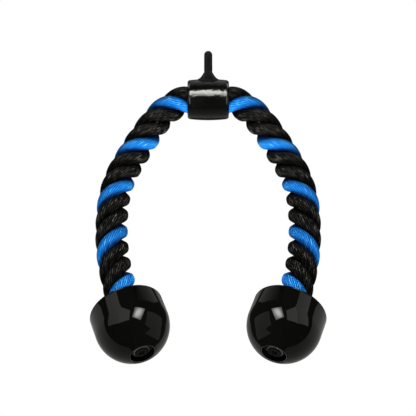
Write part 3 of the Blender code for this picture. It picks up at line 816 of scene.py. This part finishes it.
class ROPE_OT_set_stage(Operator):
    """Lay the floor, hang the lamps and reflection cards, and set up the camera"""
    bl_idname = "rope_attachment.set_stage"
    bl_label = "Stage"

    def card(self, name, bm, low, high, axis="Z", reach=None, one_sided=False):
        """A card that only reflections see, whose glow goes from one strength to another."""
        material = bpy.data.materials.new(name)
        material.use_nodes = True
        tree = material.node_tree
        tree.nodes.remove(tree.nodes["Principled BSDF"])
        place = node(tree, "ShaderNodeTexCoord").outputs
        if axis == "round":
            sides = node(tree, "ShaderNodeSeparateXYZ", {0: place["UV"]}).outputs
            across, up = (maths(tree, "SINE", maths(tree, "MULTIPLY", sides[index], math.pi))
                          for index in (0, 1))
            strength = spread(tree, maths(tree, "MULTIPLY", across, up), 0.0, 0.9, low, high)
        else:
            along = node(tree, "ShaderNodeSeparateXYZ", {0: place["Object"]}).outputs[axis]
            reach = reach or [getattr(vert.co, axis.lower()) for vert in bm.verts]
            strength = spread(tree, along, min(reach), max(reach), low, high)
        glow = node(tree, "ShaderNodeEmission", {"Color": CARD_COLOUR, "Strength": strength})
        if one_sided:
            back = node(tree, "ShaderNodeNewGeometry").outputs["Backfacing"]
            clear = node(tree, "ShaderNodeBsdfTransparent").outputs[0]
            glow = node(tree, "ShaderNodeMixShader", {0: back, 1: glow.outputs[0], 2: clear})
        tree.links.new(glow.outputs[0], tree.nodes["Material Output"].inputs["Surface"])
        piece = new_piece(name, bm, material)
        piece.visible_camera = piece.visible_diffuse = piece.visible_shadow = False

    def soft_card(self, name, corners, edge, middle, spot=(0.5, 0.5)):
        """A card from its four corners, brightest at a spot given as shares of its two sides."""
        bm = bmesh.new()
        spot_map = bm.loops.layers.uv.new("spot")
        bmesh.ops.create_grid(bm, x_segments=24, y_segments=24, size=0.5)
        bends = [math.log(0.5) / math.log(share) for share in spot]
        for vert in bm.verts:
            across, up = vert.co.x + 0.5, vert.co.y + 0.5
            for loop in vert.link_loops:
                loop[spot_map].uv = (across ** bends[0], up ** bends[1])
            vert.co = on_patch(corners, across, up)
        self.card(name, bm, edge, middle, "round")

    def sky_card(self, name, side, corners, low, high, axis):
        """A curved card, from its (azimuth, elevation) corners as the ball at that side sees it."""
        bm = bmesh.new()
        bmesh.ops.create_grid(bm, x_segments=16, y_segments=16, size=0.5)
        for vert in bm.verts:
            angles = on_patch(corners, vert.co.x + 0.5, vert.co.y + 0.5)
            azimuth, height = (math.radians(angle) for angle in angles)
            point = LEFT_BALL_MIDDLE + SKY_DISTANCE * Vector((
                math.sin(azimuth) * math.cos(height), -math.cos(azimuth) * math.cos(height),
                math.sin(height)))
            vert.co = (-side * point.x, point.y, point.z)
        self.card(name, bm, low, high, axis)

    def lamp(self, name, place, aim, width, height, power):
        """A soft area lamp, which reflections don't see."""
        data = bpy.data.lights.new(name, "AREA")
        data.shape = "RECTANGLE"
        data.size, data.size_y, data.energy = width, height, power
        made = bpy.data.objects.new(name, data)
        made.location = place
        made.rotation_euler = (Vector(aim) - Vector(place)).to_track_quat("-Z", "Y").to_euler()
        made.visible_glossy = made.visible_camera = False
        bpy.context.scene.collection.objects.link(made)

    def set_camera(self, scene, stage):
        """The camera that looks up at the attachment as the photograph does."""
        camera = bpy.data.objects.new("camera", bpy.data.cameras.new("camera"))
        camera.data.lens, camera.data.sensor_width = stage.lens, SENSOR_WIDTH
        camera.data.shift_x = CAMERA_SHIFT
        camera.location = CAMERA_PLACE
        camera.rotation_euler = (math.pi / 2 + stage.look_up, 0, 0)
        scene.collection.objects.link(camera)
        scene.camera = camera

    def light_world(self, scene, stage):
        """An even sky that is white to look at and dim as a light."""
        world = bpy.data.worlds.new("studio")
        scene.world = world
        world.use_nodes = True
        tree = world.node_tree
        strength = spread(tree, seen_rays(tree), 0.0, 1.0, stage.sky, 1.0)
        background = tree.nodes["Background"]
        background.inputs["Color"].default_value = (1, 1, 1, 1)
        tree.links.new(strength, background.inputs["Strength"])

    def lay_floor(self, stage):
        """The pale floor."""
        bm = bmesh.new()
        bmesh.ops.create_grid(bm, x_segments=1, y_segments=1, size=30)
        bmesh.ops.translate(bm, vec=(0, 0, stage.floor_height), verts=bm.verts)
        material, tree, shader = new_material(
            "pale_floor", base_color=(0.9, 0.9, 0.9, 1), roughness=0.9, specular_ior_level=0.1,
            emission_color=(1, 1, 1, 1))
        glow = maths(tree, "MULTIPLY", seen_rays(tree), FLOOR_GLOW)
        tree.links.new(glow, shader.inputs["Emission Strength"])
        new_piece("floor", bm, material)

    def hang_cards(self):
        """The surroundings that the black parts mirror: dark, with windows, sheets and strips."""
        tent = bmesh.new()
        bmesh.ops.create_uvsphere(tent, u_segments=48, v_segments=24, radius=TENT_RADIUS)
        bmesh.ops.translate(tent, vec=(0, 0, TENT_HEIGHT), verts=tent.verts)
        self.card("dark_tent", tent, low=0.01, high=0.06)
        self.card("dark_wall", one_face([(0, y, z) for y, z in (
            (0.12, -0.12), (-0.06, -0.12), (-0.25, 0.05), (-0.98, 0.4), (-0.98, -0.9),
            (0.12, -0.9))]), low=0.01, high=0.05)
        for label, side in SIDES:
            self.soft_card(f"{label}_soft_box", [(side * WALL_OFFSET, y, z) for y, z in (
                (-0.336, -0.081), (-0.101, -0.243), (-0.149, -0.308), (-0.9, -0.245))],
                edge=2.0, middle=10.8, spot=(0.8, 0.37))
        self.soft_card("collar_top_glow", [(x, y, TOP_GLOW_HEIGHT) for x, y in (
            (-0.07, -0.15), (0.07, -0.15), (0.07, 0.08), (-0.07, 0.08))], edge=0.05, middle=0.60)
        for name, corners, low, high, axis, reach in WALL_CARDS:
            for label, side in SIDES:
                bm = one_face([(side * WALL_OFFSET, y, z) for y, z in corners])
                self.card(f"{label}_{name}", bm, low, high, axis, reach)
        for name, corners, low, high, axis in SKY_CARDS:
            for label, side in SIDES:
                self.sky_card(f"{label}_{name}", side, corners, low, high, axis)
        for name, width, near, far, height, low, high, reach in LEVEL_CARDS:
            bm = one_face([(x, y, height) for x, y in (
                (-width, near), (width, near), (width, far), (-width, far))])
            self.card(name, bm, low, high, "Y", reach)
        bm = one_face([(x, STRIP_DISTANCE, z) for x, z in (
            (-0.08, -0.082), (0.08, -0.082), (0.08, -0.008), (-0.08, -0.008))])
        self.card("collar_strip", bm, low=2.0, high=17.0, reach=(-0.082, -0.030))
        for label, side in SIDES:
            bm = one_face([(-side * x, y, LIP_STRIP_HEIGHT) for x, y in (
                (0.044, -0.047), (0.068, -0.047), (0.164, -0.200), (0.088, -0.200))])
            bmesh.ops.recalc_face_normals(bm, faces=bm.faces)
            for face in bm.faces:
                if face.normal.z < 0:
                    face.normal_flip()
            self.card(f"{label}_lip_strip", bm, low=3.5, high=3.5, one_sided=True)

    def hang_lamps(self, stage):
        """Soft lamps low and level in front, high behind, and a small one at each ball's rim."""
        self.lamp("low_key", place=(0, -0.33, -1.15), aim=(0, 0, -0.18),
                  width=0.5, height=0.25, power=stage.key)
        self.lamp("front_fill", place=(0, -1.2, -0.3), aim=(0, 0, -0.15),
                  width=0.8, height=0.5, power=stage.fill)
        self.lamp("rear_fill", place=(0, 1.25, 0.50), aim=(0, 0, -0.17),
                  width=0.8, height=0.5, power=stage.rear_fill)
        for label, side in SIDES:
            self.lamp(f"{label}_rim_fill", place=(side * 0.010, -0.150, -0.285),
                      aim=(side * 0.080, -0.010, -0.250),
                      width=0.06, height=0.03, power=stage.rim_fill)

    def execute(self, context):
        scene, stage = context.scene, context.scene.stage_sizes
        scene.view_settings.view_transform = "Standard"
        self.set_camera(scene, stage)
        self.light_world(scene, stage)
        self.lay_floor(stage)
        self.hang_cards()
        self.hang_lamps(stage)
        return {"FINISHED"}


class ROPE_OT_lay_ropes(Operator):
    """Lay three strands of yarn into a rope for each arm"""
    bl_idname = "rope_attachment.lay_ropes"
    bl_label = "Ropes"

    def execute(self, context):
        sizes = context.scene.rope_sizes
        for label, side in SIDES:
            bm = bmesh.new()
            uv_map, round_map = bm.loops.layers.uv.new("lay"), bm.loops.layers.uv.new("round")
            for number in range(3):
                lay_strand(bm, uv_map, round_map, number, side, sizes)
            ends = [edge for edge in bm.edges if edge.is_boundary]
            bmesh.ops.holes_fill(bm, edges=ends, sides=0)
            rope = new_piece(f"{label}_rope", bm, material_of("blue_strand"),
                             material_of("black_strand"), sharp=70)
            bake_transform(rope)
            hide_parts(*(f"{label}_{part}_strand_{kind}" for part in ("neck", "arm")
                                for kind in ("blue", "black_a", "black_b")))
        return {"FINISHED"}


class ROPE_OT_turn_collar(Operator):
    """Turn the crowned collar with its round lips and belled mouths"""
    bl_idname = "rope_attachment.turn_collar"
    bl_label = "Collar"

    def execute(self, context):
        sizes = context.scene.collar_sizes
        half, chamfer = sizes.length / 2, 0.0003
        mouth = sizes.bore + sizes.mouth_flare
        lip = []
        for degrees in range(6, 91, 7):
            turn = math.radians(degrees)
            lip.append((half - sizes.lip_length * (1 - math.sin(turn)),
                        sizes.end_radius - sizes.lip * (1 - math.cos(turn))))
        bell = [(half, mouth + chamfer), (half - chamfer, mouth),
                (half - sizes.mouth_depth, sizes.bore)]
        outline = collar_crown(sizes) + lip + bell
        outline += [(-height, radius) for height, radius in reversed(lip + bell)]
        bm = turned(outline, segments=144, closed=True, place=collar_frame(sizes.axis_height))
        collar = new_piece("collar", bm, material_of("gloss_collar"))
        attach(collar, "collar")
        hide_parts("collar_sleeve")
        return {"FINISHED"}


WELD_TOE = 0.0004  # thickness of a weld's edge
WELD_FULLNESS = 0.5  # from 0 for a hollow weld to 1 for a straight one
WELD_PINCH = 0.8  # how far a weld is drawn in across the collar
WELD_LEVEL = 0.85  # how far a weld's top has lost the collar's slope
BAR_ENAMEL = 0.0001  # thickness of the enamel on the bar
SUNK = 0.0006  # how deep the eye reaches under the collar's skin
SKIN_CELL = 0.0004  # size of the cells that the bar and the welds become one skin with


class ROPE_OT_bend_eye(Operator):
    """Bend the eye's bar and run its welds down on to the collar"""
    bl_idname = "rope_attachment.bend_eye"
    bl_label = "Eye and welds"

    def bar(self, eye, axis_height):
        """The bar from the collar's axis up, over the bend and down again."""
        bend, bend_height = (eye.opening + eye.bar) / 2, -eye.opening / 2
        leg = bend_height - axis_height
        bm = bmesh.new()
        ring = bmesh.ops.create_circle(bm, cap_ends=True, segments=48,
                                       radius=eye.bar / 2 + BAR_ENAMEL)["verts"]
        bmesh.ops.translate(bm, vec=(0, -bend, axis_height), verts=ring)
        foot = ring[0].link_faces[0]
        rising = bmesh.ops.extrude_face_region(bm, geom=[foot])["geom"]
        bmesh.ops.translate(bm, vec=(0, 0, leg), verts=only(rising, bmesh.types.BMVert))
        top = only(rising, bmesh.types.BMFace)
        bent = bmesh.ops.spin(bm, geom=top, cent=(0, 0, bend_height), axis=(1, 0, 0),
                              angle=-math.pi, steps=40, use_duplicate=False)["geom_last"]
        bmesh.ops.delete(bm, geom=[f for f in top if f.is_valid], context="FACES_ONLY")
        last = only(bent, bmesh.types.BMFace)
        falling = bmesh.ops.extrude_face_region(bm, geom=last)["geom"]
        bmesh.ops.translate(bm, vec=(0, 0, -leg), verts=only(falling, bmesh.types.BMVert))
        bmesh.ops.delete(bm, geom=[f for f in last if f.is_valid], context="FACES_ONLY")
        return bm

    def weld(self, eye, collar, side):
        """A concave fillet round one foot, drawn in across the collar and sheared to its slope."""
        bend = (eye.opening + eye.bar) / 2
        foot = math.sqrt(collar.middle_radius ** 2 - bend ** 2)
        top, reach = eye.weld_height, eye.weld_reach
        inner, outer = eye.bar / 2, eye.bar / 2 + WELD_TOE
        outline = [(top, 0), (top, inner - WELD_TOE)]
        for height, out in arc((top, reach), reach, 270, 180, steps=10)[1:]:
            depth = top - height
            outline.append((top - depth * top / reach,
                            outer + out + (depth - out) * WELD_FULLNESS))
        outline += [(-2 * reach, outer + reach), (-2 * reach, 0)]
        bm = turned(outline, segments=48, closed=False)
        for vert in bm.verts:
            radius = math.hypot(vert.co.x, vert.co.y)
            excess = radius - inner - WELD_TOE
            if excess > 0:
                vert.co.xy *= 1 - excess / radius * WELD_PINCH * (vert.co.y / radius) ** 2
            share = min(max(vert.co.z / top, 0.0), 1.0)
            vert.co.z -= vert.co.y * side * bend / foot * (1 - share * WELD_LEVEL)
        bmesh.ops.translate(bm, vec=(0, side * bend, collar.axis_height + foot), verts=bm.verts)
        bmesh.ops.recalc_face_normals(bm, faces=bm.faces)
        return bm

    def execute(self, context):
        eye, collar = context.scene.eye_sizes, context.scene.collar_sizes
        whole = new_piece("eye", self.bar(eye, collar.axis_height), material_of("satin_eye"),
                          sharp=60)
        joined = bmesh.new()
        joined.from_mesh(whole.data)
        for side in (-1, 1):
            fillet = self.weld(eye, collar, side)
            made = bpy.data.meshes.new("weld")
            fillet.to_mesh(made)
            fillet.free()
            joined.from_mesh(made)
            bpy.data.meshes.remove(made)
        joined.to_mesh(whole.data)
        joined.free()
        remesh = whole.modifiers.new("one skin", "REMESH")
        remesh.mode, remesh.voxel_size = "VOXEL", SKIN_CELL
        soften = whole.modifiers.new("soften", "SMOOTH")
        soften.factor, soften.iterations = 0.5, 5
        settle(whole)

        outline = collar_crown(collar, SUNK)
        outline = [(outline[0][0], 0)] + outline + [(outline[-1][0], 0)]
        cutter = turned(outline, segments=96, closed=False, place=collar_frame(collar.axis_height))
        cut_away(whole, new_piece("collar_cutter", cutter))
        whole.data.shade_smooth()
        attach(whole, "collar")
        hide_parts("hanging_eye", "eye_weld_front", "eye_weld_rear")
        return {"FINISHED"}


RECESS_EDGE = 0.0006  # rounding at the mouth and the floor of the ball's recess


class ROPE_OT_turn_balls(Operator):
    """Turn the two bullet-shaped stop balls"""
    bl_idname = "rope_attachment.turn_balls"
    bl_label = "Stop balls"

    def execute(self, context):
        sizes = context.scene.ball_sizes
        radius, recess, edge = sizes.diameter / 2, sizes.recess / 2, RECESS_EDGE
        hole = context.scene.screw_sizes.shank / 2 + FIT_GAP
        mouth, rim = sizes.mouth_fillet, sizes.rim_fillet
        dome_angle = math.degrees(math.asin((recess + edge) / radius))
        dome_end = sizes.wall + radius * math.cos(math.radians(dome_angle))
        outline = [(sizes.bore_depth, hole), (sizes.bore_depth, sizes.bore)]
        outline += arc((mouth, sizes.bore + mouth), mouth, 270, 180, steps=8)
        outline += arc((rim, radius - rim), rim, 180, 90, steps=12)
        outline += arc((sizes.wall, 0), radius, 90, dome_angle, steps=44)
        outline += [(dome_end - edge * 0.05, recess + edge * 0.4),
                    (dome_end - edge * 0.45, recess),
                    (sizes.recess_floor + edge, recess), (sizes.recess_floor, recess - edge),
                    (sizes.recess_floor, hole)]
        for label, side in SIDES:
            bm = turned(outline, segments=160, closed=True)
            # The recess mouth takes the scuffed edge finish, whose lighter colour is partly wear
            # and partly a painted highlight ring
            for face in bm.faces:
                middle = face.calc_center_median()
                if middle.z > dome_end - edge * 0.5 and middle.xy.length < recess + edge:
                    face.material_index = 1
            bmesh.ops.transform(bm, matrix=ball_frame(side), verts=bm.verts)
            made = new_piece(f"{label}_stop_ball", bm, material_of("gloss_ball"),
                             material_of("scuffed_edge"))
            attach(made, f"{label}_arm")
            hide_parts(f"{label}_ball")
        return {"FINISHED"}


BEVEL = 0.0003
SCREW_REACH = 0.0048  # how far the screw reaches past the bore's floor into the ferrule
SOCKET_DEPTH = 0.0017


class ROPE_OT_fit_end_screws(Operator):
    """Fit the washer and the socket screw in each ball's recess"""
    bl_idname = "rope_attachment.fit_end_screws"
    bl_label = "Washers and screws"

    def execute(self, context):
        sizes, ball = context.scene.screw_sizes, context.scene.ball_sizes
        near = ball.recess_floor + FIT_GAP
        far = near + sizes.washer_thickness
        hole, rim = sizes.shank / 2 + FIT_GAP, sizes.washer / 2
        washer_outline = [(near, hole), (far - BEVEL, hole), (far, hole + BEVEL),
                          (far, rim - BEVEL), (far - BEVEL, rim), (near, rim)]
        seat, tip = far + FIT_GAP, ball.bore_depth - SCREW_REACH
        top, radius, shank = seat + sizes.head_height, sizes.head / 2, sizes.shank / 2
        edge = sizes.head_height / 2
        screw_outline = [(tip, 0), (tip, shank - BEVEL), (tip + BEVEL, shank),
                         (seat, shank), (seat, radius - BEVEL), (seat + BEVEL, radius)]
        screw_outline += arc((seat + edge / 2, radius - edge), edge, 90, 15, steps=8)
        screw_outline += [(top, radius - 2 * edge), (top, 0)]
        across = sizes.socket / math.sqrt(3)
        for label, side in SIDES:
            place = ball_frame(side)
            bm = turned(washer_outline, segments=72, closed=True, place=place)
            washer = new_piece(f"{label}_washer", bm, material_of("blackened_steel"))
            bm = turned(screw_outline, segments=72, closed=False, place=place)
            to_axis = place.inverted()
            # A band round the head's top edge takes the scuffed edge finish, whose lighter colour
            # is partly wear and partly a painted highlight
            for face in bm.faces:
                middle = to_axis @ face.calc_center_median()
                at_edge = radius - 0.95 * edge < middle.xy.length < radius - 0.1 * edge
                if middle.z > seat + BEVEL and at_edge:
                    face.material_index = 1
            screw = new_piece(f"{label}_screw", bm, material_of("blackened_steel"),
                              material_of("scuffed_edge"))
            bm = bmesh.new()
            bmesh.ops.create_cone(bm, cap_ends=True, segments=6, depth=2 * SOCKET_DEPTH,
                                  radius1=across, radius2=across)
            bmesh.ops.transform(bm, matrix=place @ Matrix.Translation((0, 0, top)),
                                verts=bm.verts)
            cut_away(screw, new_piece("socket_cutter", bm))
            for piece, part in ((washer, "washer"), (screw, "screw")):
                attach(piece, f"{label}_arm")
                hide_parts(f"{label}_end_{part}")
        return {"FINISHED"}


class ROPE_OT_finish_hidden_fittings(Operator):
    """Give the whippings and the ferrules, which the collar and the balls hide, their finish"""
    bl_idname = "rope_attachment.finish_hidden_fittings"
    bl_label = "Whippings and ferrules"

    def execute(self, context):
        for label, _ in SIDES:
            for node_name, material in ((f"{label}_whipping", "whipping_tape"),
                                        (f"{label}_end_ferrule", "blackened_steel")):
                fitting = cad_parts[node_name]
                fitting.data.materials.clear()
                fitting.data.materials.append(material_of(material))
        return {"FINISHED"}


class ROPE_PT_parts(Panel):
    """The pieces of the rope attachment"""
    bl_idname = "ROPE_PT_parts"
    bl_label = "Triceps rope"
    bl_space_type = "VIEW_3D"
    bl_region_type = "UI"
    bl_category = "Rope"

    def draw(self, context):
        layout = self.layout
        for operator in OPERATORS:
            layout.operator(operator.bl_idname)
        for name in SETTINGS:
            sizes = getattr(context.scene, name)
            box = layout.box()
            for label in sizes.__annotations__:
                box.prop(sizes, label)


OPERATORS = (ROPE_OT_set_stage, ROPE_OT_lay_ropes, ROPE_OT_turn_collar, ROPE_OT_bend_eye,
             ROPE_OT_turn_balls, ROPE_OT_fit_end_screws, ROPE_OT_finish_hidden_fittings)
SETTINGS = {"rope_sizes": RopeSettings, "collar_sizes": CollarSettings, "eye_sizes": EyeSettings,
            "ball_sizes": BallSettings, "screw_sizes": ScrewSettings,
            "stage_sizes": StageSettings}


def register():
    """Register the settings, the operators and the panel."""
    for name, group in SETTINGS.items():
        bpy.utils.register_class(group)
        setattr(bpy.types.Scene, name, PointerProperty(type=group))
    for shown in (*OPERATORS, ROPE_PT_parts):
        bpy.utils.register_class(shown)


def unregister():
    """Take out what register() put in."""
    for shown in reversed((*OPERATORS, ROPE_PT_parts)):
        bpy.utils.unregister_class(shown)
    for name, group in SETTINGS.items():
        delattr(bpy.types.Scene, name)
        bpy.utils.unregister_class(group)


def main():
    """Build the whole attachment."""
    register()
    bpy.ops.rope_attachment.set_stage()
    bpy.ops.rope_attachment.lay_ropes()
    bpy.ops.rope_attachment.turn_collar()
    bpy.ops.rope_attachment.bend_eye()
    bpy.ops.rope_attachment.turn_balls()
    bpy.ops.rope_attachment.fit_end_screws()
    bpy.ops.rope_attachment.finish_hidden_fittings()


if __name__ == "__main__":
    main()
